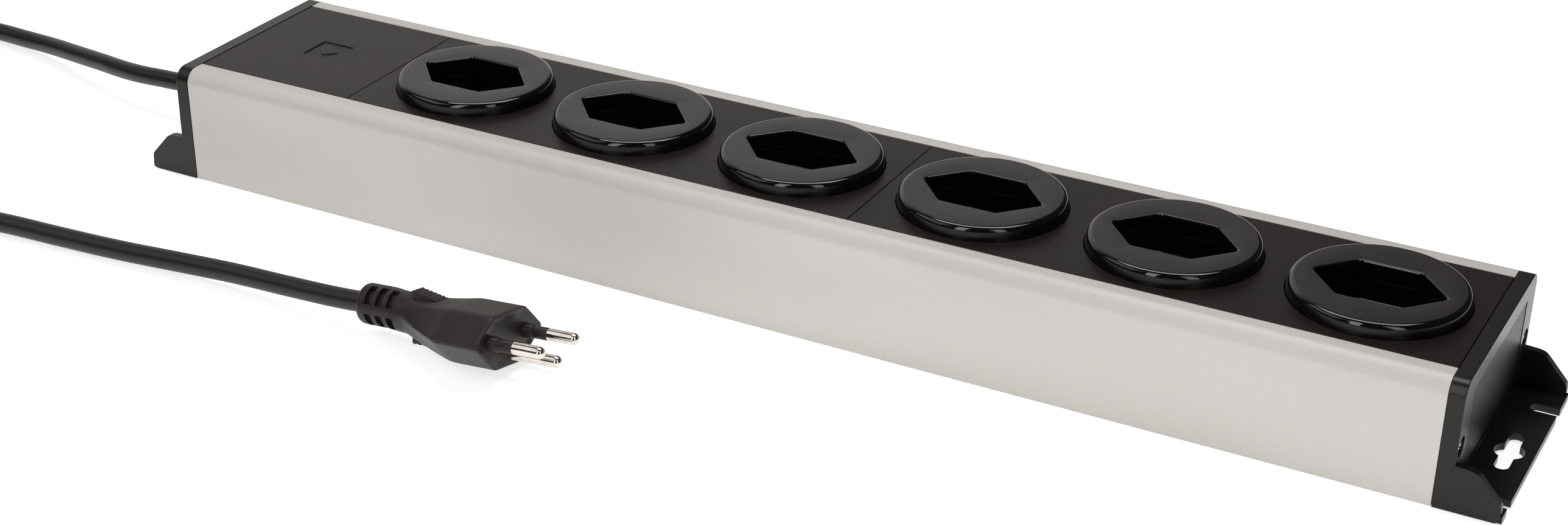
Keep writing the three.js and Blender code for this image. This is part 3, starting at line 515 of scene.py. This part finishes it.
def socket_mesh(top, floor, bottom, cover_top, flange_low, flange_high):
    """A disc with a rounded rim, a hexagonal recess with a lead-in, and a pot below."""
    pot_round = RECESS_ROUND + POT_WALL
    rings = [recess_ring(POT_WALL, bottom, pot_round), recess_ring(POT_WALL, flange_low, pot_round)]
    rings += [round_ring(FLANGE_RADIUS, flange_low), round_ring(FLANGE_RADIUS, flange_high)]
    rim = arc((DISC_TOP_RADIUS - DISC_EDGE, top - DISC_EDGE), DISC_EDGE, SIDE_SLOPE, 90, 10)
    side = [(DISC_RADIUS, flange_high), (DISC_RADIUS, cover_top)]
    rings += [round_ring(radius, z) for radius, z in side + rim]
    for i in range(7):
        angle = math.radians(90 * i / 6)
        grow = LEAD_IN + LIP_ROUND * (1 - math.sin(angle))
        rings.append(recess_ring(grow, top - LIP_ROUND * (1 - math.cos(angle)), shift=LEAD_IN_SHIFT))
    rings += [recess_ring(0, top - LEAD_IN_DEPTH), recess_ring(0, floor + FLOOR_ROUND)]
    for i in range(1, 4):
        angle = math.radians(30 * i)
        height = FLOOR_ROUND * (1 - math.sin(angle))
        rings.append(recess_ring(-FLOOR_ROUND * (1 - math.cos(angle)), floor + height))
    return loft(rings)


def pin_cutters(z_low, z_high):
    radius = PIN_HOLE_RADIUS
    profile = [(0, z_low), (radius, z_low), (radius, z_high - 1), (radius, z_high), (0, z_high)]
    cutters = []
    for x, y in PIN_PLACES.values():
        cutter = turned(profile, 32)
        bmesh.ops.translate(cutter, vec=(x, y, 0), verts=cutter.verts)
        cutters.append(cutter)
    return cutters


def add_sockets():
    """One disc shape, copied to each socket's place: a satin top, a duller side, and glossy edges and
    recess. Their near-black colour is painted shade in the recess.
    """
    low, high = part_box("socket_insert_1")
    cover_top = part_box("socket_cover_a")[1].z / MM
    top, bottom = high.z / MM, low.z / MM
    floor = bottom + FLOOR_THICKNESS
    build = socket_mesh(top, floor, bottom, cover_top, cover_top - FLANGE_BOTTOM, cover_top - FLANGE_TOP)
    build = combine(build, pin_cutters(bottom - 1, floor + 1), "DIFFERENCE")
    smooth(build, 40)
    for face in build.faces:
        middle = face.calc_center_median()
        flat_top = middle.z > top - 0.02 and face.normal.z > 0.99
        side = math.hypot(middle.x, middle.y) > DISC_TOP_RADIUS - 0.2 and face.normal.z < 0.3
        # Index 1 is the glossy material whose near-black colour paints shade into the recess; index 2 is the
        # side
        face.material_index = 0 if flat_top else 2 if side else 1
    for number in range(1, SOCKETS + 1):
        node = f"socket_insert_{number}"
        low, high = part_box(node)
        place = Matrix.Translation(((low.x + high.x) / 2, 0, 0))
        copy = build.copy() if number < SOCKETS else build
        add_piece(f"socket_{number}", copy, [DISC_SATIN, DISC_GLOSS_PAINTED_SHADE, DISC_SIDE], [node], place)


add_sockets()

# ---------- End caps ----------

CAP_EDGE_ROUND = 1.1
CAP_SMALL_ROUND = 0.35
CAP_THICKNESS = 5
PANEL_DEPTH = 0.5
PANEL_GROOVE = 0.5
PANEL_RAISE = 0.35
PANEL_EDGE = 0.06
PANEL_TOP = 34.5
SIDE_WALL_INNER = 37.4
EAR_WALL_TOP = 16


def on_outline(vertex, face_x):
    """Whether a cap vertex lies on the outer face's own outline, clear of the ear."""
    x, y, z = vertex.co
    outer = abs(y) > SIDE_WALL_INNER or z > PANEL_TOP + 2
    return abs(abs(x) - face_x) < 0.01 and outer and z > EAR_WALL_TOP - 2


def add_end_cap(side):
    """The moulded cap: a rounded outer edge, and a raised blank label panel inside a thin groove."""
    node = f"end_cap_{side}"
    build = from_node(node)
    face_x = max(abs(vertex.co.x) for vertex in build.verts if vertex.co.z > EAR_WALL_TOP)
    panel_x = face_x - PANEL_DEPTH
    panel = []
    for face in build.faces:
        if abs(face.normal.x) > 0.99 and abs(abs(face.calc_center_median().x) - panel_x) < 0.02:
            panel.append(face)
    for thickness, depth in ((PANEL_GROOVE, 0), (PANEL_EDGE, PANEL_RAISE)):
        bmesh.ops.inset_region(
            build, faces=panel, thickness=thickness, depth=depth, use_boundary=True, use_even_offset=True,
        )
    for face in panel:
        face.material_index = 1
    rounded = [edge for edge in build.edges if all(on_outline(vertex, face_x) for vertex in edge.verts)]
    bmesh.ops.bevel(
        build, geom=rounded, offset=CAP_EDGE_ROUND, offset_type="OFFSET", segments=5, profile=0.5,
        affect="EDGES", clamp_overlap=True,
    )
    bevel_sharp(build, CAP_SMALL_ROUND, angle=50)
    piece = add_piece(node + "_body", smooth(build), [CAP_BLACK, PANEL_BLACK], [node])
    even_normals(piece)


for side in ("left", "right"):
    add_end_cap(side)

# ---------- Screws ----------

PAN_HEAD_RADIUS = 2.7
PAN_HEAD_HEIGHT = 1.89
SHANK_RADIUS = 1.25
CROSS_TURN = 25


def pan_screw(head_radius, shank_radius, length, head_height):
    """A pan-head screw about Z, its head resting on z 0, with a cross recess."""
    dome = head_height * 0.55
    profile = [(0, -length), (shank_radius * 0.4, -length), (shank_radius, -length + 1.2), (shank_radius, 0)]
    profile += [(head_radius - 0.1, 0), (head_radius, 0.1), (head_radius, head_height - dome)]
    for i in range(1, 8):
        angle = math.radians(90 * i / 7)
        profile.append((head_radius * math.cos(angle), head_height - dome + dome * math.sin(angle)))
    profile[-1] = (0, head_height)
    body = turned(profile, 40)
    arms = []
    for turn in (CROSS_TURN, CROSS_TURN + 90):
        arm = bmesh.new()
        bmesh.ops.create_cube(arm, size=1)
        bmesh.ops.scale(arm, vec=(head_radius * 1.15, head_radius * 0.24, head_height), verts=arm.verts)
        bmesh.ops.translate(arm, vec=(0, 0, head_height * 0.95), verts=arm.verts)
        bmesh.ops.rotate(arm, matrix=Matrix.Rotation(math.radians(turn), 3, "Z"), verts=arm.verts)
        arms.append(arm)
    return bevel_sharp(combine(body, arms, "DIFFERENCE"), 0.06, 40, 2)


def add_cap_screws():
    for side, direction in (("left", -1), ("right", 1)):
        for row in ("front", "back"):
            node = f"cap_screw_{side}_{row}"
            low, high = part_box(node)
            centre = (low + high) / 2
            length = (high.x - low.x) / MM - PAN_HEAD_HEIGHT
            build = pan_screw(PAN_HEAD_RADIUS, SHANK_RADIUS, length, PAN_HEAD_HEIGHT)
            head_x = (low.x if direction < 0 else high.x) - direction * PAN_HEAD_HEIGHT * MM
            turn = Matrix.Rotation(direction * math.pi / 2, 4, "Y")
            place = Matrix.Translation((head_x, centre.y, centre.z)) @ turn
            add_piece(node + "_body", smooth(build), [ZINC], [node], place)


add_cap_screws()

# ---------- Inside ----------

INSIDE = {
    "contact_carrier_a": CARRIER_GREY, "contact_carrier_b": CARRIER_GREY,
    "cable_saddle": CARRIER_GREY, "cable_clamp": CARRIER_GREY,
    "live_rail": BRASS, "neutral_rail": BRASS, "earth_rail": BRASS, "earth_tag": BRASS,
    "live_wire": BROWN_CORE, "neutral_wire": BLUE_CORE,
    "earth_wire": EARTH_CORE, "earth_bond_wire": EARTH_CORE,
    "clamp_screw_front": ZINC, "clamp_screw_back": ZINC, "earth_screw": ZINC,
    "cord_end": SHEATH_BLACK,
}
for node, material in INSIDE.items():
    paint(node, material)

# ---------- Bushing, coil tie and plug ----------

BUSHING_FLANGE_RADIUS = 7.4
BUSHING_NECK_RADIUS = 6
BUSHING_COLLAR_RADIUS = 7
BUSHING_RIBS = 5
RIB_RADIUS = 6.1
RIB_TAPER = 0.36
TIE_EDGE = 0.2

PLUG_PLACE_MM = (-47.4, -102, 12.3)
PLUG_ROLL = -12.6
PLUG_RISE = 4.9
PLUG_LENGTH = 54
PLUG_HEAD = 16
NECK_START = 36
NECK_RADIUS = 6.55
NECK_RISE = 2.2
# The head's corners, each with its rounding
HEAD_CORNERS = [
    ((18.3, 0), 1.1), ((8.5, 8.2), 4), ((-8.5, 8.2), 4),
    ((-18.3, 0), 1.1), ((-7.35, -9.2), 3), ((7.35, -9.2), 3),
]
HEAD_CENTRE_Z = -0.5
# Sections of the neck behind its taper: where along the plug, and the head's share in the shape
NECK_SECTIONS = ((-50, 0), (-44, 0), (-38.5, 0), (-36.6, 0.012))
# Steps from the head's rounded edge into its dished face: where along the plug, and how far drawn in
FACE_STEPS = ((-0.1, 0.1), (0, 0.35), (-0.02, 1.2), (-0.25, 1.9), (-0.45, 2.6), (-0.5, 3.4))
PLUG_AROUND = 144
GRIP_HALF_WIDTH = 2.9
GRIP_GROOVE = 0.22
GRIP_ROOT = 3
# Each grip's edge as two points along the plug, and its number of ribs
UPPER_GRIP = (((-34.7, 9.8), (-24.6, 7.9)), 6)
LOWER_GRIP = (((-34.2, -7.2), (-27.2, -7.3)), 3)
NECK_ROUND = 1.6
SLOT_RINGS = 3
SLOT_PITCH = 4.2
SLOT_WIDTH = 2.5
SLOT_START = -PLUG_LENGTH + 3.6
SLOT_HALF_ANGLE = 31
SLOT_DEPTH = 1.5
PIN_RADIUS = 2
PIN_LENGTH = 19
PIN_SLEEVE_END = 8.4
PIN_ROOT = -6
# The sleeve's thick root, and the thin part that covers the pin
SLEEVE_ROOT_RADIUS = 2.35
SLEEVE_ROOT_END = 2.6
SLEEVE_RADIUS = 2.02


def fillet(corners):
    """A convex outline with each corner rounded by its own radius, as a fine closed line."""
    line = []
    count = len(corners)
    for i, (corner, radius) in enumerate(corners):
        here = Vector(corner)
        back = (Vector(corners[i - 1][0]) - here).normalized()
        ahead = (Vector(corners[(i + 1) % count][0]) - here).normalized()
        half = back.angle(ahead) / 2
        centre = here + (back + ahead).normalized() * (radius / math.sin(half))
        start = here + back * (radius / math.tan(half)) - centre
        end = here + ahead * (radius / math.tan(half)) - centre
        for step in range(9):
            line.append(centre + start.slerp(end, step / 8).normalized() * radius)
    return line


def outline_ring(line, centre_z, count):
    """Where rays from the centre meet a closed convex line, one for each of count directions."""
    ring = []
    for i in range(count):
        angle = 2 * math.pi * i / count
        ray = Vector((math.cos(angle), math.sin(angle)))
        for a, b in zip(line, line[1:] + line[:1]):
            a, b = a - Vector((0, centre_z)), b - Vector((0, centre_z))
            turn = (b - a).cross(ray)
            if abs(turn) < 1e-9:
                continue
            along = ray.cross(a) / turn
            reach = (b - a).cross(a) / turn
            if -1e-6 <= along <= 1 + 1e-6 and reach > 0:
                ring.append(ray * reach + Vector((0, centre_z)))
                break
    return ring


def plug_ring(head, x, share, radius, lift):
    """A section of the plug at x: share 0 is the round neck and 1 is the six-sided head."""
    ring = []
    for i, corner in enumerate(head):
        angle = 2 * math.pi * i / len(head)
        round_point = Vector((radius * math.cos(angle), radius * math.sin(angle) + lift))
        point = round_point.lerp(corner, share)
        ring.append((x, point.x, point.y))
    return ring


def shrunk(ring, x, amount):
    """The ring moved to x and drawn in by amount."""
    middle = Vector((0, HEAD_CENTRE_Z))
    points = []
    for _, y, z in ring:
        away = Vector((y, z)) - middle
        point = middle + away * (1 - amount / away.length)
        points.append((x, point.x, point.y))
    return points


def plug_shell():
    """The moulding without grips: a rounded neck that widens into the head, with a dished face."""
    head = outline_ring(fillet(HEAD_CORNERS), HEAD_CENTRE_Z, PLUG_AROUND)
    rings = []
    for i in range(6):
        angle = math.radians(90 * i / 5)
        x = -PLUG_LENGTH + NECK_ROUND * (1 - math.sin(angle))
        rings.append(plug_ring(head, x, 0, NECK_RADIUS - NECK_ROUND * (1 - math.cos(angle)), NECK_RISE))
    rings.reverse()
    neck_lift = NECK_RISE * 0.7
    for x, share in NECK_SECTIONS:
        rings.append(plug_ring(head, x, share, NECK_RADIUS, NECK_RISE if x < -40 else neck_lift * 1.1))
    steps = 12
    for i in range(steps + 1):
        share = 0.04 + 0.92 * i / steps
        x = -NECK_START + share * (NECK_START - PLUG_HEAD)
        rings.append(plug_ring(head, x, share, NECK_RADIUS, neck_lift * (1 - share)))
    rings.append(plug_ring(head, -PLUG_HEAD + 0.5, 0.99, NECK_RADIUS, 0))
    rings += [plug_ring(head, x, 1, NECK_RADIUS, 0) for x in (-PLUG_HEAD + 1.6, -8, -2, -0.35)]
    edge = rings[-1]
    rings += [shrunk(edge, x, amount) for x, amount in FACE_STEPS]
    return loft(rings)


def grip(profile, ribs, low_z):
    """A ribbed thumb grip: two points of (x, z) for its ribbed edge, and its root inside the body."""
    (x0, z0), (x1, z1) = profile
    side = 1 if z0 > 0 else -1
    line = [(x0, low_z), (x0, z0 - side * 0.5), (x0 + 0.4, z0)]
    pitch = (x1 - x0 - 0.8) / ribs
    for i in range(ribs):
        start = x0 + 0.4 + i * pitch
        for offset, drop in ((0.3, 0), (0.55, GRIP_GROOVE), (0.8, GRIP_GROOVE), (0.95, 0)):
            x = start + offset * pitch
            z = z0 + (z1 - z0) * (x - x0) / (x1 - x0) - side * drop
            line.append((x, z))
    line += [(x1, z1 - side * 0.5), (x1, low_z)]
    rings = [[(x, y, z) for x, z in line] for y in (-GRIP_HALF_WIDTH, GRIP_HALF_WIDTH)]
    build = loft(rings)
    bmesh.ops.recalc_face_normals(build, faces=build.faces)
    return bevel_sharp(build, 0.12, 30, 2)


def neck_slots():
    """Three rings of four slots round the neck, each cut by a closed ring segment."""
    slots = []
    outer, inner = NECK_RADIUS + 1, NECK_RADIUS - SLOT_DEPTH
    for ring in range(SLOT_RINGS):
        x = SLOT_START + ring * SLOT_PITCH
        for middle in (45, 135, 225, 315):
            first, last = middle - SLOT_HALF_ANGLE, middle + SLOT_HALF_ANGLE
            line = arc((0, NECK_RISE), outer, first, last, 8) + arc((0, NECK_RISE), inner, last, first, 8)
            slot = loft([[(x + part, y, z) for y, z in line] for part in (0, SLOT_WIDTH)])
            bmesh.ops.recalc_face_normals(slot, faces=slot.faces)
            slots.append(slot)
    return slots


def plug_place():
    rise = Matrix.Rotation(math.radians(-PLUG_RISE), 4, "Y")
    roll = Matrix.Rotation(math.radians(PLUG_ROLL), 4, "X")
    return Matrix.Translation(Vector(PLUG_PLACE_MM) * MM) @ rise @ roll


def add_plug():
    shell = plug_shell()
    bmesh.ops.recalc_face_normals(shell, faces=shell.faces)
    grips = [grip(*UPPER_GRIP, GRIP_ROOT), grip(*LOWER_GRIP, -GRIP_ROOT)]
    build = combine(combine(shell, grips, "UNION"), neck_slots(), "DIFFERENCE")
    nodes = ["plug_body", "pin_bridge"]
    add_piece("plug_moulding", smooth(build, 25), [PLUG_BLACK], nodes, plug_place())


def along_x(build):
    """Turns a shape from +Z to +X."""
    bmesh.ops.rotate(build, matrix=Matrix.Rotation(math.pi / 2, 3, "Y"), verts=build.verts)
    return build


def sleeve_profile():
    end = PIN_SLEEVE_END
    profile = [(0, PIN_ROOT), (SLEEVE_ROOT_RADIUS, PIN_ROOT), (SLEEVE_ROOT_RADIUS, SLEEVE_ROOT_END)]
    profile += [(SLEEVE_ROOT_RADIUS - 0.15, SLEEVE_ROOT_END + 0.3), (SLEEVE_RADIUS, SLEEVE_ROOT_END + 0.45)]
    profile += [(SLEEVE_RADIUS, end - 0.15), (SLEEVE_RADIUS - 0.12, end), (0, end)]
    return profile


def add_pins():
    """Half-sleeved live and neutral pins, and a bare earth pin."""
    for name, (y, z) in PIN_PLACES.items():
        sleeved = name != "earth"
        start = PIN_SLEEVE_END - 1 if sleeved else PIN_ROOT
        profile = [(0, start), (PIN_RADIUS, start), (PIN_RADIUS, PIN_LENGTH - 6)]
        profile += arc((0, PIN_LENGTH - PIN_RADIUS), PIN_RADIUS, 0, 90, 12)
        profile[-1] = (0, PIN_LENGTH)
        place = plug_place() @ Matrix.Translation((0, y * MM, z * MM))
        pin = along_x(turned(profile, 48))
        add_piece(f"pin_{name}", smooth(pin, 40), [NICKEL], [f"plug_pin_{name}"], place)
        if sleeved:
            sleeve = smooth(along_x(turned(sleeve_profile(), 48)), 40)
            add_piece(f"sleeve_{name}", sleeve, [PLUG_BLACK], [f"pin_sleeve_{name}"], place)


def ring_points(radius, count=64):
    angles = [2 * math.pi * i / count for i in range(count)]
    return [(radius * math.cos(angle), radius * math.sin(angle)) for angle in angles]


def bushing_rib(radius, x, pitch):
    """One rib and the groove behind it, as (radius, x) points."""
    crest = [(radius - 0.15, x), (radius, x + 0.2), (radius - 0.1, x + pitch * 0.55)]
    back = [(radius - 0.3, x + pitch * 0.62), (radius - 1.05, x + pitch * 0.68)]
    return [(radius - 0.9, x - 0.35)] + crest + back


def add_bushing():
    """The strain relief: a flange inside the cap, a collar outside, then ribs that taper along the lead."""
    low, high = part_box("cord_bushing")
    start, end = -high.x / MM, -low.x / MM
    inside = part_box("housing_profile")[1].x / MM
    face = inside + CAP_THICKNESS
    bore = CORD_DIAMETER / MM / 2
    flange, neck, collar = BUSHING_FLANGE_RADIUS, BUSHING_NECK_RADIUS, BUSHING_COLLAR_RADIUS
    profile = [(bore, start), (flange - 0.2, start), (flange, start + 0.2), (flange, inside - 0.4)]
    profile += [(neck, inside - 0.4), (neck, face + 0.3), (collar - 0.3, face + 0.3), (collar, face + 0.6)]
    profile += [(collar, face + 1.7), (collar - 0.3, face + 2)]
    pitch = (end - 2 - face - 3) / BUSHING_RIBS
    for i in range(BUSHING_RIBS):
        profile += bushing_rib(RIB_RADIUS - RIB_TAPER * i, face + 3 + i * pitch, pitch)
    profile += [(4.4, end - 1.2), (4.2, end - 0.3), (4, end), (bore, end)]
    rings = [[(-x, y, z) for y, z in ring_points(radius)] for radius, x in profile]
    build = loft(rings + [rings[0]], capped=False)
    bmesh.ops.remove_doubles(build, verts=build.verts, dist=1e-4)
    bmesh.ops.recalc_face_normals(build, faces=build.faces)
    place = Matrix.Translation((0, 0, (low.z + high.z) / 2))
    add_piece("cord_bushing_body", smooth(build, 40), [SHEATH_BLACK], ["cord_bushing"], place)


add_bushing()
add_refined("cord_tie", SHEATH_BLACK, TIE_EDGE)
add_plug()
add_pins()

cord.data.materials.append(SHEATH_BLACK)
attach(cord, "root")
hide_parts("cord_lead", "cord_coil", "cord_tail")

# ---------- Studio ----------

FLOOR_SIZE = 12
FLOOR_DROP = 0.0005
FLOOR_GLOW = 0.69
# Each light's name, place, size and radiance; they face the middle of the strip
SOFTBOXES = [
    ("softbox_front", (-0.035, -1.08, 0.72), (0.28, 1.3), 3.9),
    ("softbox_right", (0.62, -0.50, 0.48), (0.2, 0.8), 2.34),
    ("softbox_top", (-0.05, 0.3, 1.5), (1.4, 0.6), 5.4),
    ("softbox_left", (-1.1, -0.75, 1.2), (1.4, 1.0), 1.1),
]
# The backdrop's middle as a direction, and the cosines where it starts to show and is brightest
BACKDROP_DIRECTION = (-0.72, 0.64, 0.26)
BACKDROP_EDGES = (0.72, 0.98)
WORLD_COLOUR = (1, 0.97, 0.95, 1)
WORLD_DIM = 0.055
WORLD_BRIGHT = 0.85


def add_floor():
    """A pale table that glows a little, so that it stays nearly white with faint shadows."""
    build = bmesh.new()
    bmesh.ops.create_grid(build, x_segments=1, y_segments=1, size=FLOOR_SIZE / 2)
    mesh = bpy.data.meshes.new("floor")
    build.to_mesh(mesh)
    build.free()
    look = Look("pale_floor", roughness=0.7, gloss=0.1)
    look.blend_colours(look.noise(400), (0.72, 0.72, 0.72), (0.74, 0.74, 0.74))
    look.shader.inputs["Emission Color"].default_value = (1, 1, 1, 1)
    look.shader.inputs["Emission Strength"].default_value = FLOOR_GLOW
    mesh.materials.append(look.material)
    floor = bpy.data.objects.new("floor", mesh)
    floor.location.z = -FLOOR_DROP
    bpy.context.scene.collection.objects.link(floor)


def add_softbox(name, place, size, radiance):
    """A rectangular light that faces the origin and isn't seen by the camera itself."""
    data = bpy.data.lights.new(name, "AREA")
    data.shape = "RECTANGLE"
    data.size, data.size_y = size
    data.energy = radiance * math.pi * size[0] * size[1]
    light = bpy.data.objects.new(name, data)
    light.location = place
    light.rotation_euler = (-Vector(place)).to_track_quat("-Z", "Y").to_euler()
    light.visible_camera = False
    bpy.context.scene.collection.objects.link(light)


def add_world():
    """A dim studio with a bright backdrop behind and to the left, as a soft patch in the sky."""
    world = bpy.data.worlds.new("studio")
    world.use_nodes = True
    nodes = world.node_tree.nodes
    links = world.node_tree.links
    where = nodes.new("ShaderNodeTexCoord").outputs["Generated"]
    toward = nodes.new("ShaderNodeVectorMath")
    toward.operation = "DOT_PRODUCT"
    toward.inputs[1].default_value = BACKDROP_DIRECTION
    links.new(where, toward.inputs[0])
    patch = nodes.new("ShaderNodeMapRange")
    patch.interpolation_type = "SMOOTHSTEP"
    patch.inputs["From Min"].default_value, patch.inputs["From Max"].default_value = BACKDROP_EDGES
    patch.inputs["To Min"].default_value = WORLD_DIM
    patch.inputs["To Max"].default_value = WORLD_BRIGHT
    links.new(toward.outputs["Value"], patch.inputs["Value"])
    links.new(patch.outputs["Result"], nodes["Background"].inputs["Strength"])
    nodes["Background"].inputs["Color"].default_value = WORLD_COLOUR
    bpy.context.scene.world = world


add_floor()
for name, place, size, radiance in SOFTBOXES:
    add_softbox(name, place, size, radiance)
add_world()
bpy.context.scene.view_settings.view_transform = "Standard"
